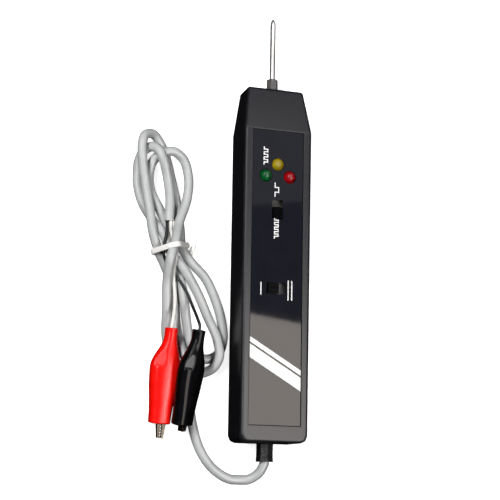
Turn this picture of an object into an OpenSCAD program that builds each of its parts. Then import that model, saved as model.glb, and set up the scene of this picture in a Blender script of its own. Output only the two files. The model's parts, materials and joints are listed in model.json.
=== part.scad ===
// Hand-held logic probe with a tied supply lead and two spring clips.
// +Y points along the needle, +Z points out of the labelled front, the back lies on Z = 0.

/* [Case] */
// Length of the case from its cable end to the end of the nose
body_l = 142.3; // [136:0.1:160]
// Width of the case at its cable end
body_w_end = 27.4; // [26:0.1:32]
// Width of the case where the nose starts
body_w_top = 28.4; // [27:0.1:34]
// Thickness of the case
body_d = 18; // [17:0.1:22]
// Length of the tapered nose
nose_l = 18.5; // [14:0.1:22]
// Width of the nose at its end
nose_w = 24.2; // [20:0.1:26]
// How far the front slopes down along the nose
nose_drop = 4.3; // [2:0.1:5]
// How far the back slopes up along the nose
nose_rise = 1.8; // [1:0.1:3]
// Radius of the moulded outer edges
edge_r = 1.5; // [0.8:0.1:1.8]
// Radius of the two corners at the cable end, seen from the front
corner_r = 3; // [2:0.1:5]
// Thickness of the sides, back and ends
wall = 2; // [1.6:0.1:2.4]
// Thickness of the front wall, label recess included
front_wall = 2.6; // [2.2:0.1:3]
// Height of the parting plane between the two halves
split_z = 6; // [5:0.1:7]
// Height of the locating lip inside the joint
lip_h = 1.4; // [0.8:0.1:1.8]
// Thickness of the locating lip
lip_t = 0.9; // [0.7:0.1:1.2]
// Clearance between parts that drop into each other
fit_gap = 0.15; // [0.1:0.01:0.25]

/* [Label] */
// Width of the label recess
label_w = 21.2; // [20:0.1:22]
// Distance from the cable end to the label recess
label_margin = 6.5; // [5:0.1:9]
// Distance from the label recess to the start of the nose
label_gap = 0.3; // [0.2:0.1:3]
// Depth of the label recess
recess_d = 0.8; // [0.5:0.1:1]
// Thickness of the label film
film_t = 0.3; // [0.2:0.05:0.4]

/* [Indicators] */
// Diameter of an indicator lens
led_d = 5; // [4.6:0.1:5.4]
// Diameter of the flange at the foot of a lens
led_flange_d = 5.8; // [5.6:0.1:6.2]
// Length of a lens from its flange to its dome
led_h = 8.6; // [8:0.1:9]
// Height of the dome above the front of the case
led_proud = 1.4; // [0.8:0.1:2]
// Sideways distance of the outer lenses from the centre line
led_side = 5; // [4.8:0.1:6]
// Distance from the label's top edge to the middle lens
led_row = 13.9; // [12:0.1:15]
// Distance from the middle lens to the row of outer lenses
led_step = 4.8; // [4.4:0.1:5.5]

/* [Switches] */
// Length of a knob along its travel
knob_l = 4.4; // [3.6:0.1:5]
// Width of a knob across its travel
knob_w = 3.8; // [3.2:0.1:4.4]
// Height of a knob above the label
knob_proud = 0.9; // [0.5:0.1:1.5]
// Travel of a knob
travel = 2.8; // [2:0.1:3]
// Gap around a knob in its slot
slot_gap = 0.35; // [0.3:0.05:0.5]
// Distance from the label's top edge to the mode switch
mode_row = 32.2; // [30:0.1:36]
// Distance from the label's top edge to the level switch
level_row = 63.9; // [62:0.1:66]
// Height of a switch can
can_h = 5.2; // [4.6:0.1:6]
// Sheet thickness of a switch can
can_t = 0.4; // [0.3:0.05:0.5]

/* [Needle] */
// Diameter of the needle
needle_d = 2.2; // [1.8:0.1:2.4]
// Length of the needle beyond its collar
needle_l = 26.5; // [22:0.1:32]
// Length of the sharpened point
point_l = 2.8; // [2:0.1:5]
// Width across the corners of the collar
collar_d = 4.8; // [4.2:0.1:5.4]
// Length of the collar outside the nose
collar_l = 5.1; // [4.6:0.1:8]
// Height of the needle axis above the back
needle_z = 8.3; // [7.8:0.1:9]

/* [Circuit board] */
// Thickness of the board
board_t = 1.6; // [1.2:0.1:1.8]
// Height of the board's component side above the back
board_z = 7; // [6.6:0.1:7.4]
// Diameter of a component lead
lead_d = 0.6; // [0.5:0.05:0.8]

/* [Screws] */
// Diameter of a case screw
screw_d = 2.6; // [2.2:0.1:3]
// Diameter of a screw head
head_d = 5; // [4.4:0.1:5.4]
// Height of a screw head
head_h = 1.8; // [1.4:0.1:2]
// Length of a screw under its head
screw_l = 9; // [7:0.5:10]

/* [Lead] */
// Diameter of the supply cable
cable_d = 3.8; // [3.2:0.1:4]
// Diameter of the white core
white_d = 1.5; // [1.2:0.1:1.8]
// Diameter of the black core
black_d = 1.2; // [1:0.1:1.4]
// Width of the strain relief across its corners
gland_d = 6.9; // [6.2:0.1:8]
// Length of the strain relief outside the case
gland_l = 7; // [5:0.1:9]
// Thickness of the tie
tie_t = 1; // [0.6:0.1:1.2]
// Width of the tie
tie_w = 2.2; // [1.6:0.1:2.8]

/* [Clips] */
// Length of a boot
boot_l = 36.8; // [36:0.2:40]
// Greatest width of a boot
boot_w = 11.9; // [11.6:0.1:13]
// Greatest thickness of a boot
boot_t = 7.6; // [7.2:0.1:8]
// Width of the mouth of a boot
mouth_w = 8.5; // [8.2:0.1:9.4]
// Diameter of the neck of a boot
neck_d = 5; // [4.6:0.1:5.6]
// Wall thickness of a boot
boot_wall = 0.8; // [0.6:0.05:0.9]
// Length of the jaws ahead of their pivot
jaw_l = 17; // [16:0.1:18]
// Sheet thickness of the jaws
jaw_t = 0.5; // [0.4:0.05:0.6]
// Diameter of the pivot pin
pivot_d = 1.5; // [1.3:0.1:1.7]
// Length of jaw outside the red boot
red_reach = 5.5; // [5:0.1:6.5]
// Length of jaw outside the black boot
black_reach = 2.5; // [2:0.1:3]

/* [Hidden] */
$fn = 48;
running_gap = 0.03;
joint_gap = 0.3;
total_l = gland_l + body_l + collar_l + needle_l;
y_end = gland_l - total_l / 2;
y_nose = y_end + body_l;
y_kink = y_nose - nose_l;
y_tip = total_l / 2;
inner_z = body_d - front_wall;

// Case: the three sections it is hulled through, as y, half width, bottom and top
sections = [[y_end, body_w_end / 2, 0, body_d],
    [y_kink, body_w_top / 2, 0, body_d],
    [y_nose, nose_w / 2, nose_rise, body_d - nose_drop]];
cavity_r = 0.6;
lip_in = wall + fit_gap + lip_t;
lip_root = 1.6;
bite = 0.5;
past = 1;

// Label and the things that show through it
label_y = y_end + label_margin;
label_top = y_kink - label_gap;
label_l = label_top - label_y;
recess_z = body_d - recess_d;
film_z = recess_z + film_t;
led_places = [[0, label_top - led_row],
    [-led_side, label_top - led_row - led_step],
    [led_side, label_top - led_row - led_step]];
led_base = body_d + led_proud - led_h;
led_flange_h = 1;
led_pitch = 2.54;
slot_l = knob_l + travel + 2 * slot_gap;
slot_w = knob_w + 2 * slot_gap;
mode_at = [0, label_top - mode_row];
level_at = [0, label_top - level_row];
mode_spin = 0;
level_spin = -90;

// Slide switches, drawn with their travel along Y and resting at the low end
can_top = inner_z - fit_gap;
can_low = can_top - can_h;
slider_top = can_top - can_t - joint_gap;
slider_lap = 0.3;
slider_w = slot_w + 2 * slider_lap;
slider_l = slot_l + travel + 2 * slider_lap;
can_l = slider_l + travel + 2 * joint_gap + 2 * can_t;
can_w = slider_w + 2 * joint_gap + 2 * can_t;
base_t = 1.2;
groove_w = 0.5;
groove_d = 0.4;
terminal_pitch = 4;
terminal_rows = [-terminal_pitch, 0, terminal_pitch];

// Board, screws and posts
board_margin = 15;
board_step = 8;
board_y0 = y_end + board_margin;
board_y1 = y_kink - board_step;
board_w = min(body_w_end, body_w_top) - 2 * (lip_in + fit_gap);
board_low = board_z - board_t;
hole_gap = 0.1;
lead_hole_d = lead_d + 2 * hole_gap;
lead_tail = 1;
lead_low = board_low - lead_tail;
boss_wall = 1.7;
boss_d = screw_d + 2 * boss_wall;
sink_gap = 0.4;
sink_h = head_h + sink_gap;
cross_w = 0.7;
screw_in = 5;
screw_margin = 7.4;
screw_step = 3;
screw_x = min(body_w_end, body_w_top) / 2 - screw_in;
screw_places = [for (sx = [-1, 1])
    each [[sx * screw_x, y_end + screw_margin], [sx * screw_x, y_kink - screw_step]]];
post_d = 2.6;
post_in = 1.6;
post_step = 2;
post_x = board_w / 2 - post_in;
post_places = [for (sx = [-1, 1])
    each [[sx * post_x, board_y0 + post_step], [sx * post_x, board_y1 - post_step]]];
lip_gap = 0.5;
lip_y0 = y_end + screw_margin + boss_d / 2 + lip_gap;
lip_y1 = y_kink - screw_step - boss_d / 2 - lip_gap;

// Parts on the board
chip_pitch = 2.54;
chip_row = 7.62;
chip_w = 6.4;
chip_h = 3.4;
chip_lift = 0.5;
leg_t = 0.3;
leg_w = 0.5;
comparator_legs = 4;
counter_legs = 7;
counter_drop = 17;
comparator_drop = 1;
comparator_at = [0, (mode_at[1] + level_at[1]) / 2 - comparator_drop];
counter_at = [0, level_at[1] - counter_drop];
resistor_d = 1.8;
resistor_l = 6;
resistor_span = 10.16;
resistor_in = 1.4;
resistor_pitch = 2;
resistor_columns = [for (sx = [-1, 1], i = [0, 1])
    sx * (board_w / 2 - resistor_in - i * resistor_pitch)];
capacitor_d = 4;
capacitor_h = 6.6;
capacitor_pitch = 2;
capacitor_in = 2.5;
capacitor_at = [board_w / 2 - capacitor_in, counter_at[1]];
diode_d = 1.9;
diode_l = 4.2;
diode_span = 7.62;
diode_in = 3;
diode_at = [diode_in - board_w / 2, counter_at[1]];
core_pad_x = 2;
core_pad_y = 2.5;
core_pad = [core_pad_x, board_y0 + core_pad_y];

// Needle mounting
shank_step = 0.2;
shank_d = needle_d - 2 * shank_step;
point_steps = 8;
point_bulge = 0.7;
socket_wall = 1;
socket_d = shank_d + 2 * socket_wall;
socket_l = 10;
socket_back = 1.5;
socket_tail_w = 3;
socket_tail_t = 0.5;
collar_wall = 0.9;
collar_neck_d = shank_d + 2 * collar_wall;
collar_flange_t = 1.2;
needle_rear = y_nose - wall - collar_flange_t - socket_l + socket_back;

// Strain relief
gland_z = split_z;
gland_wall = 0.8;
gland_neck_d = cable_d + 2 * gland_wall;
gland_flange_t = 1.5;
gland_flare = 0.1;
gland_flare_d = gland_d + 2 * gland_flare;
gland_flare_l = 1.6;
cable_in = 7.45;

// Cores from the cable's inner end to the board
core_x = 0.9;
core_rise = 9;
core_step = 3;
core_y = y_end + cable_in;
core_bend = core_y + core_step;

// Clip parts, drawn with the boot's neck at the origin and the jaws towards +Y
boot_shift = 0.8;
mouth_t = 6.8;
neck_l = 3;
belly_y = 15.5;
mouth_round = 0.62;
belly_square = 0.7;
boot_sides = 28;
belly_stations = [7, 9.5, 12, 14.5, belly_y, 21, 25, 29, 33];
boot_stations = concat([0, neck_l, 5], belly_stations, [boot_l]);
hollow_stations = concat([neck_l + 1.5], belly_stations, [boot_l, boot_l + past]);
jaw_w = 4;
jaw_tip_w = 2.2;
jaw_root = 2.8;
jaw_flat = 3;
strip_bend = 1;
flange_h = 1.3;
jaw_tip = 1.2;
ear_r = 1.9;
tooth = 0.35;
tooth_pitch = 1.1;
tooth_count = 10;
handle_l = 8.8;
handle_out = 4.2;
tail_l = 11.8;
crimp_l = 4;
crimp_t = 0.5;
core_in = 9;
head_t = 0.3;
spring_d = 0.4;
spring_r = pivot_d / 2 + spring_d;
spring_steps = 12;
spring_turns = 2.5;
spring_pitch = 1.1;
arm_l = 6;
arm_in = 1.9;
arm_bend = 1;
red_pivot = boot_l + red_reach - jaw_l;
black_pivot = boot_l + black_reach - jaw_l;

// The hank is laid out for a strain relief that ends at this y, and moves along with it
hank_y = -90.45;
lead_shift = y_end - gland_l - hank_y;

// Place of a clip's neck, then its pitch, roll and heading
red_at = [-39.5, -40.6, 9.6];
red_turn = [-8, 0, 177];
black_at = [-30.3, -41.7, 16.2];
black_turn = [-14, -35, 175];

// Tie: place, turn about Z, and the strands it goes round as place across, height, radius
tie_at = [-40, -8.5, 0];
tie_turn = 14;
tie_slack = 0.15;
tie_strands = [[-4.4, 3.1, cable_d / 2], [5.3, 3.2, cable_d / 2], [0.3, 10.6, cable_d / 2],
    [-3.4, 7.6, black_d / 2]];
tie_tail = [[-34.8, -7.6, 0.55], [-31.3, -11.2, 0.5], [-29.3, -5.6, 2]];

// Routes of the lead from the case to the tied hank, and of its two cores
tube_sides = 8;
cable_route = [[0, core_y - lead_shift, gland_z], [0, -91, gland_z], [-2, -95, 4.6], [-6, -97.5, 2.6],
    [-12, -97.5, 2], [-19, -94, 2], [-25, -86.5, 2], [-28.5, -76, 2], [-30.5, -65, 4],
    [-31.8, -54.5, 6], [-34.4, -46.5, 4], [-36, -38, 2], [-37.2, -27, 2], [-40, -18, 2],
    [-43.5, -11, 2.8], [-47.2, -3, 5.4], [-48.8, 5, 6.2], [-51, 16, 6.4], [-53, 26.2, 8],
    [-53.4, 31.4, 8.6], [-52.2, 35.6, 7.6], [-48.6, 37, 5.4], [-45.4, 34.6, 3.4], [-43, 30.4, 2.2],
    [-39.2, 18, 2], [-37, 9, 2], [-35.6, 0, 2.4], [-34.5, -8.5, 3.4], [-31.2, -12.8, 3],
    [-25, -18.5, 2], [-20.5, -27, 2], [-17.5, -36, 2], [-16.8, -44, 2], [-18.8, -49.2, 2],
    [-23, -51.2, 2], [-27.4, -50, 2], [-30, -46, 2], [-31.6, -39, 2.6], [-33.9, -28, 4.8],
    [-35.8, -17, 2.4], [-38.5, -9.5, 3.05], [-39.7, -2, 1.95], [-43.7, 6.5, 2.1], [-48.2, 14.6, 2.8],
    [-49, 21.7, 3.3], [-48, 26, 4.4], [-44.6, 29.3, 5.8], [-40, 30.3, 6.4], [-36.4, 28.3, 5.8],
    [-33.4, 21.2, 4.6], [-34, 11, 5.4], [-37, 2, 6.8], [-39.2, -7, 10.1], [-41, -13, 11.1],
    [-41.2, -22, 6.6], [-40.4, -33, 4], [-39.8, -43, 2], [-37.4, -51, 2], [-32.4, -55.6, 2],
    [-26, -57, 2], [-21.4, -55, 3.8], [-19.2, -50.5, 6], [-20, -44.5, 6], [-23.8, -35, 4.4],
    [-29, -25, 5.6], [-35, -16.2, 6.7], [-40.5, -9.8, 6.4], [-42.6, -3, 4.4], [-46.2, 2, 2.2],
    [-51.2, 9.5, 2], [-53.6, 18.4, 2], [-53.6, 25, 2.4], [-52, 29.7, 4.2], [-49.4, 31.4, 6.4],
    [-47, 30, 8.9], [-45, 25.9, 9.6], [-42.8, 20, 7.6], [-41, 11.2, 6.1], [-41, 2.2, 5.8]];
white_route = concat([[-40.4, 2.2, 6.4], [-40.1, -1.5, 5.8], [-38.9, -6.6, 7], [-38.2, -9.3, 8.3],
    [-38.5, -13, 9.5], [-38.8, -16.4, 7.7], [-38.6, -20.5, 6.4], [-37.9, -26.5, 6.6], [-38.3, -33, 8.4]],
    [for (y = [-1.5, core_in]) on_axis(red_at, red_turn, y)]);
black_route = concat([[-41.7, 2.2, 5.2], [-42.1, -2.4, 7.1], [-43.1, -7.6, 7.8], [-43.1, -11, 7],
    [-41.4, -14.6, 5.8], [-37.7, -19, 5.4], [-33.8, -25.5, 7.6], [-31.6, -32, 10.4],
    [-30.9, -36.4, 14.4]],
    [for (y = [-1.5, core_in]) on_axis(black_at, black_turn, y)]);

function unit(v) = v / norm(v);

// Half width of the case's side at y, outside
function side_at(y) = (body_w_end + (body_w_top - body_w_end) * (y - y_end) / (y_kink - y_end)) / 2;

// Point of a placed clip's own axis
function on_axis(at, turn, y) =
    at + y * [-sin(turn[2]) * cos(turn[0]), cos(turn[2]) * cos(turn[0]), sin(turn[0])];

// Rings of a round tube along a path that is nowhere upright
function heading(path, i) = unit(path[min(i + 1, len(path) - 1)] - path[max(i - 1, 0)]);
function tube_ring(path, i, r) =
    let (t = heading(path, i), u = unit(cross(t, [0, 0, 1])), v = cross(u, t))
    [for (k = [0:tube_sides - 1])
        path[i] + r * (cos(360 * k / tube_sides) * u + sin(360 * k / tube_sides) * v)];
function tube_rings(path, d) = [for (i = [0:len(path) - 1]) tube_ring(path, i, d / 2)];

// Rings of a boot: round at the neck, squarer at the mouth
function ease(s) = (1 - cos(180 * max(0, min(1, s)))) / 2;
function blend(a, b, s) = a + (b - a) * s;
function power(v, e) = sign(v) * pow(abs(v), e);
function boot_ring(y, inset) =
    let (front = ease((y - neck_l) / (belly_y - neck_l)),
        back = ease((y - belly_y) / (boot_l - belly_y)),
        w = blend(blend(neck_d, boot_w, front), mouth_w, back) / 2 - inset,
        t = blend(blend(neck_d, boot_t, front), mouth_t, back) / 2 - inset,
        e = blend(1, mouth_round, max(front * belly_square, back)))
    [for (k = [0:boot_sides - 1])
        [boot_shift * front + w * power(cos(360 * k / boot_sides), e), y,
            t * power(sin(360 * k / boot_sides), e)]];
function spring_path(pivot) =
    let (steps = spring_steps * spring_turns, rise = spring_pitch * spring_d)
    concat([[handle_out - arm_in, pivot - arm_l, -rise], [spring_r, pivot - arm_bend, -rise]],
        [for (i = [0:steps])
            [spring_r * cos(360 * i / spring_steps), pivot + spring_r * sin(360 * i / spring_steps),
                rise * (2 * i / steps - 1)]],
        [[-jaw_root + jaw_t + spring_d / 2, pivot - arm_l, rise]]);

module loft(rings) {
    n = len(rings[0]);
    last = len(rings) - 1;
    polyhedron(points = [for (ring = rings) each ring],
        faces = concat([[for (i = [n - 1:-1:0]) i]],
            [for (k = [0:last - 1], i = [0:n - 1])
                each [[k * n + i, k * n + (i + 1) % n, (k + 1) * n + (i + 1) % n],
                    [k * n + i, (k + 1) * n + (i + 1) % n, (k + 1) * n + i]]],
            [[for (i = [0:n - 1]) last * n + i]]));
}

// Box centred on the Z axis between two heights
module block(w, l, z0, z1) {
    translate([-w / 2, -l / 2, z0])
        cube([w, l, z1 - z0]);
}

// Cylinder from y0 to y1 on the axis at height z
module bar(y0, y1, z, d, sides = $fn) {
    translate([0, y0, z])
        rotate([-90, 0, 0])
            cylinder(d = d, h = y1 - y0, $fn = sides);
}

// Round wire through points, with a ball at each bend
module wire(points, d) {
    for (i = [0:len(points) - 2]) {
        v = points[i + 1] - points[i];
        translate(points[i])
            rotate([0, acos(v[2] / norm(v)), atan2(v[1], v[0])])
                cylinder(d = d, h = norm(v), $fn = 16);
    }
    for (i = [1:1:len(points) - 2])
        translate(points[i])
            sphere(d = d * 1.04, $fn = 16);
}

// Solid case form, inset from the sides, back and ends, and from the front
module case_form(inset, front, r, sides) {
    ball = r / cos(180 / sides);
    turn = max(corner_r - inset, r);
    places = [[0, inset + r + (turn - r), 0], [0, inset + r, turn - r],
        [0, inset + r + (turn - r) * (1 - sin(45)), (turn - r) * (1 - cos(45))],
        [1, 0, 0], [2, -inset - r, 0]];
    hull()
        for (p = places, sx = [-1, 1], top = [false, true])
            translate([sx * (sections[p[0]][1] - inset - r - p[2]),
                sections[p[0]][0] + p[1],
                top ? sections[p[0]][3] - front - r : sections[p[0]][2] + inset + r])
                sphere(r = ball, $fn = sides);
}

module cavity() {
    case_form(wall, front_wall, cavity_r, 16);
}

module half(z0, z1) {
    translate([-body_w_top, y_end - past, z0])
        cube([2 * body_w_top, body_l + 2 * past, z1 - z0]);
}

module place_switch(at, spin) {
    translate([at[0], at[1], 0])
        rotate([0, 0, spin])
            children();
}

module place_clip(at, turn) {
    translate(at + [0, lead_shift, 0])
        rotate([0, 0, turn[2]])
            rotate([turn[0], 0, 0])
                rotate([0, turn[1], 0])
                    children();
}

// Openings through the front wall or the label
module front_openings(z0, z1) {
    for (p = led_places)
        translate([p[0], p[1], z0])
            cylinder(d = led_d + 2 * fit_gap, h = z1 - z0);
    place_switch(mode_at, mode_spin)
        block(slot_w, slot_l, z0, z1);
    place_switch(level_at, level_spin)
        block(slot_w, slot_l, z0, z1);
}

module columns(places, d, z0, z1) {
    for (p = places)
        translate([p[0], p[1], z0])
            cylinder(d = d, h = z1 - z0);
}

module label_block(gap, z0, z1) {
    translate([0, label_y + label_l / 2, 0])
        block(label_w - 2 * gap, label_l - 2 * gap, z0, z1);
}

module front_shell() {
    color([0.08, 0.08, 0.08])
    difference() {
        union() {
            difference() {
                intersection() {
                    case_form(0, 0, edge_r, 24);
                    half(split_z, body_d + past);
                }
                cavity();
            }
            columns(screw_places, boss_d, split_z, inner_z + bite);
            columns(post_places, post_d, board_z, inner_z + bite);
        }
        label_block(0, recess_z, body_d + past);
        front_openings(inner_z - past, body_d + past);
        columns(screw_places, screw_d + 2 * running_gap, split_z - past, sink_h + screw_l + bite);
        bar(y_nose - wall - past, y_nose + past, needle_z, collar_neck_d + 2 * running_gap);
        bar(y_end - past, y_end + wall + past, gland_z, gland_neck_d + 2 * running_gap);
    }
}

// Rail inside one side of the case
module rail(x_out, x_in, z0, z1) {
    translate([0, 0, z0])
        linear_extrude(z1 - z0)
            polygon([[side_at(lip_y0) - x_out, lip_y0], [side_at(lip_y1) - x_out, lip_y1],
                [side_at(lip_y1) - x_in, lip_y1], [side_at(lip_y0) - x_in, lip_y0]]);
}

module rear_cover() {
    color([0.07, 0.07, 0.07])
    difference() {
        union() {
            difference() {
                intersection() {
                    case_form(0, 0, edge_r, 24);
                    half(-past, split_z);
                }
                cavity();
            }
            columns(screw_places, boss_d, wall - bite, split_z);
            columns(post_places, post_d, wall - bite, board_low);
            for (sx = [0, 1])
                mirror([sx, 0, 0]) {
                    rail(wall - bite, lip_in, split_z - lip_root, split_z);
                    rail(wall + fit_gap, lip_in, split_z - bite, split_z + lip_h);
                }
        }
        columns(screw_places, head_d + sink_gap, -past, sink_h);
        columns(screw_places, screw_d + 2 * running_gap, sink_h - past, split_z + past);
        bar(y_end - past, y_end + wall + past, gland_z, gland_neck_d + 2 * running_gap);
    }
}

module label_overlay() {
    color([0.04, 0.04, 0.05])
    difference() {
        label_block(fit_gap, recess_z, film_z);
        front_openings(recess_z - past, film_z + past);
    }
}

module case_screws() {
    color([0.6, 0.6, 0.62])
    for (p = screw_places)
        translate([p[0], p[1], sink_h]) {
            difference() {
                translate([0, 0, -head_h])
                    cylinder(d = head_d, h = head_h);
                for (spin = [0, 90])
                    rotate([0, 0, spin])
                        block(cross_w, head_d / 2, -head_h - past, -head_h / 2);
            }
            cylinder(d = screw_d, h = screw_l);
        }
}

module probe_needle() {
    color([0.75, 0.74, 0.72]) {
        bar(needle_rear, y_nose + collar_l, needle_z, shank_d);
        bar(y_nose + collar_l, y_tip - point_l, needle_z, needle_d);
        translate([0, y_tip - point_l, needle_z])
            rotate([-90, 0, 0])
                rotate_extrude()
                    polygon(concat([[0, 0]], [for (i = [0:point_steps])
                        [needle_d / 2 * pow(1 - pow(i / point_steps, 2), point_bulge),
                            point_l * i / point_steps]]));
    }
}

module needle_collar() {
    color([0.42, 0.41, 0.41])
    difference() {
        union() {
            bar(y_nose, y_nose + collar_l, needle_z, collar_d, 6);
            bar(y_nose - wall, y_nose + bite, needle_z, collar_neck_d);
            bar(y_nose - wall - collar_flange_t, y_nose - wall, needle_z, collar_d);
        }
        bar(needle_rear, y_nose + collar_l + past, needle_z, shank_d + 2 * running_gap);
    }
}

module needle_socket() {
    rear = needle_rear - socket_back;
    color([0.72, 0.6, 0.3]) {
        difference() {
            bar(rear, rear + socket_l, needle_z, socket_d);
            bar(needle_rear, rear + socket_l + past, needle_z, shank_d + 2 * running_gap);
        }
        translate([-socket_tail_w / 2, board_y1 - socket_tail_w, board_z])
            cube([socket_tail_w, rear + bite - board_y1 + socket_tail_w, socket_tail_t]);
    }
}

// Holes of the board, as x and y
function switch_holes(at, spin) =
    [for (y = terminal_rows) [at[0] - sin(spin) * y, at[1] + cos(spin) * y]];
function chip_holes(at, legs) = [for (sx = [-1, 1], i = [0:legs - 1])
    [at[0] + sx * chip_row / 2, at[1] + (i - (legs - 1) / 2) * chip_pitch]];
led_holes = [for (p = led_places, sx = [-1, 1]) [p[0] + sx * led_pitch / 2, p[1]]];
resistor_holes = [for (x = resistor_columns, sy = [-1, 1])
    [x, comparator_at[1] + sy * resistor_span / 2]];
capacitor_holes = [for (sx = [-1, 1]) capacitor_at + [sx * capacitor_pitch / 2, 0]];
diode_holes = [for (sy = [-1, 1]) diode_at + [0, sy * diode_span / 2]];

module circuit_board() {
    color([0.1, 0.35, 0.18])
    difference() {
        translate([0, (board_y0 + board_y1) / 2, 0])
            block(board_w, board_y1 - board_y0, board_low, board_z);
        for (p = concat(led_holes, switch_holes(mode_at, mode_spin), switch_holes(level_at, level_spin),
                chip_holes(comparator_at, comparator_legs), chip_holes(counter_at, counter_legs),
                resistor_holes, capacitor_holes, diode_holes))
            translate([p[0], p[1], board_low - past])
                cylinder(d = lead_hole_d, h = board_t + 2 * past, $fn = 16);
        for (sx = [-1, 1])
            translate([sx * core_pad[0], core_pad[1], board_low - past])
                cylinder(d = black_d + 2 * hole_gap, h = board_t + 2 * past, $fn = 16);
    }
}

module led(p) {
    r = led_d / 2;
    translate([p[0], p[1], led_base])
        rotate_extrude()
            polygon(concat([[0, 0], [led_flange_d / 2, 0]],
                [[led_flange_d / 2, led_flange_h], [r, led_flange_h]],
                [for (a = [0:10:80]) [r * cos(a), led_h - r + r * sin(a)]], [[0, led_h]]));
}

module led_yellow() {
    color([0.85, 0.65, 0.1])
        led(led_places[0]);
}

module led_green() {
    color([0.2, 0.6, 0.25])
        led(led_places[1]);
}

module led_red() {
    color([0.8, 0.12, 0.1])
        led(led_places[2]);
}

module led_leads() {
    color([0.7, 0.7, 0.68])
        columns(led_holes, lead_d, lead_low, led_base);
}

module switch_can() {
    color([0.72, 0.72, 0.7])
    difference() {
        block(can_w, can_l, can_low, can_top);
        block(can_w - 2 * can_t, can_l - 2 * can_t, can_low - past, can_top - can_t);
        block(slot_w, slot_l, can_low, can_top + past);
    }
}

module switch_base() {
    color([0.35, 0.22, 0.12])
        block(can_w - 2 * can_t, can_l - 2 * can_t, can_low, can_low + base_t);
}

module switch_slider() {
    color([0.6, 0.57, 0.5])
    translate([0, -travel / 2, 0])
        block(slider_w, slider_l, can_low + base_t + joint_gap, slider_top);
}

module switch_knob() {
    top = film_z + knob_proud;
    color([0.05, 0.05, 0.05])
    translate([0, -travel / 2, 0])
        difference() {
            block(knob_w, knob_l, slider_top, top);
            for (sx = [-1, 1])
                translate([sx * knob_w / 4, 0, 0])
                    block(groove_w, knob_l + past, top - groove_d, top + past);
        }
}

module mode_switch_can() {
    place_switch(mode_at, mode_spin)
        switch_can();
}

module mode_switch_base() {
    place_switch(mode_at, mode_spin)
        switch_base();
}

module mode_switch_terminals() {
    color([0.7, 0.7, 0.68])
        columns(switch_holes(mode_at, mode_spin), lead_d, lead_low, can_low);
}

module mode_switch_slider() {
    place_switch(mode_at, mode_spin)
        switch_slider();
}

module mode_switch_knob() {
    place_switch(mode_at, mode_spin)
        switch_knob();
}

module level_switch_can() {
    place_switch(level_at, level_spin)
        switch_can();
}

module level_switch_base() {
    place_switch(level_at, level_spin)
        switch_base();
}

module level_switch_terminals() {
    color([0.7, 0.7, 0.68])
        columns(switch_holes(level_at, level_spin), lead_d, lead_low, can_low);
}

module level_switch_slider() {
    place_switch(level_at, level_spin)
        switch_slider();
}

module level_switch_knob() {
    place_switch(level_at, level_spin)
        switch_knob();
}

module chip(at, legs) {
    color([0.06, 0.06, 0.06])
    translate([at[0], at[1], 0])
        block(chip_w, legs * chip_pitch, board_z + chip_lift, board_z + chip_lift + chip_h);
}

module comparator_chip() {
    chip(comparator_at, comparator_legs);
}

module counter_chip() {
    chip(counter_at, counter_legs);
}

module chip_legs() {
    shoulder = board_z + chip_lift + chip_h / 2;
    color([0.7, 0.7, 0.68])
    for (p = concat(chip_holes(comparator_at, comparator_legs), chip_holes(counter_at, counter_legs)))
        translate([p[0], p[1], 0]) {
            block(leg_t, leg_w, lead_low, shoulder);
            mirror([p[0] > 0 ? 0 : 1, 0, 0])
                translate([(chip_w - chip_row) / 2, -leg_w / 2, shoulder - leg_t])
                    cube([(chip_row - chip_w) / 2, leg_w, leg_t]);
        }
}

// Part with a round body lying along Y on its two bent leads
module axial(d, l, span) {
    z = board_z + d / 2;
    y = span / 2;
    bar(-l / 2, l / 2, z, d);
    wire([[0, -y, lead_low], [0, -y, z], [0, y, z], [0, y, lead_low]], lead_d);
}

module resistors() {
    color([0.75, 0.62, 0.42])
    for (x = resistor_columns)
        translate([x, comparator_at[1], 0])
            axial(resistor_d, resistor_l, resistor_span);
}

module capacitor() {
    color([0.12, 0.14, 0.3]) {
        columns([capacitor_at], capacitor_d, board_z, board_z + capacitor_h);
        columns(capacitor_holes, lead_d, lead_low, board_z + bite);
    }
}

module diode() {
    color([0.15, 0.15, 0.15])
    translate([diode_at[0], diode_at[1], 0])
        axial(diode_d, diode_l, diode_span);
}

module inner_leads() {
    color([0.8, 0.8, 0.78])
    for (sx = [-1, 1])
        wire([[sx * core_x, core_y, gland_z], [sx * core_x, core_bend, gland_z],
            [sx * core_pad[0], core_bend + core_step, core_rise],
            [sx * core_pad[0], core_pad[1], core_rise],
            [sx * core_pad[0], core_pad[1], lead_low]], black_d);
}

module strain_relief() {
    color([0.16, 0.15, 0.15])
    difference() {
        union() {
            bar(y_end - gland_l, y_end, gland_z, gland_d, 8);
            bar(y_end - gland_l, y_end - gland_l + gland_flare_l, gland_z, gland_flare_d, 8);
            bar(y_end - bite, y_end + wall, gland_z, gland_neck_d);
            bar(y_end + wall, y_end + wall + gland_flange_t, gland_z, gland_d);
        }
        bar(y_end - gland_l - past, y_end + wall + gland_flange_t + past, gland_z,
            cable_d + 2 * running_gap);
    }
}

module lead_cable() {
    color([0.7, 0.7, 0.7])
    translate([0, lead_shift, 0])
        loft(tube_rings(cable_route, cable_d));
}

module white_wire() {
    color([0.85, 0.84, 0.8])
    translate([0, lead_shift, 0])
        loft(tube_rings(white_route, white_d));
}

module black_wire() {
    color([0.05, 0.05, 0.05])
    translate([0, lead_shift, 0])
        loft(tube_rings(black_route, black_d));
}

module tie_outline(grow) {
    hull()
        for (s = tie_strands)
            translate([s[0], s[1]])
                circle(r = s[2] + tie_slack + grow, $fn = 32);
}

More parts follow.
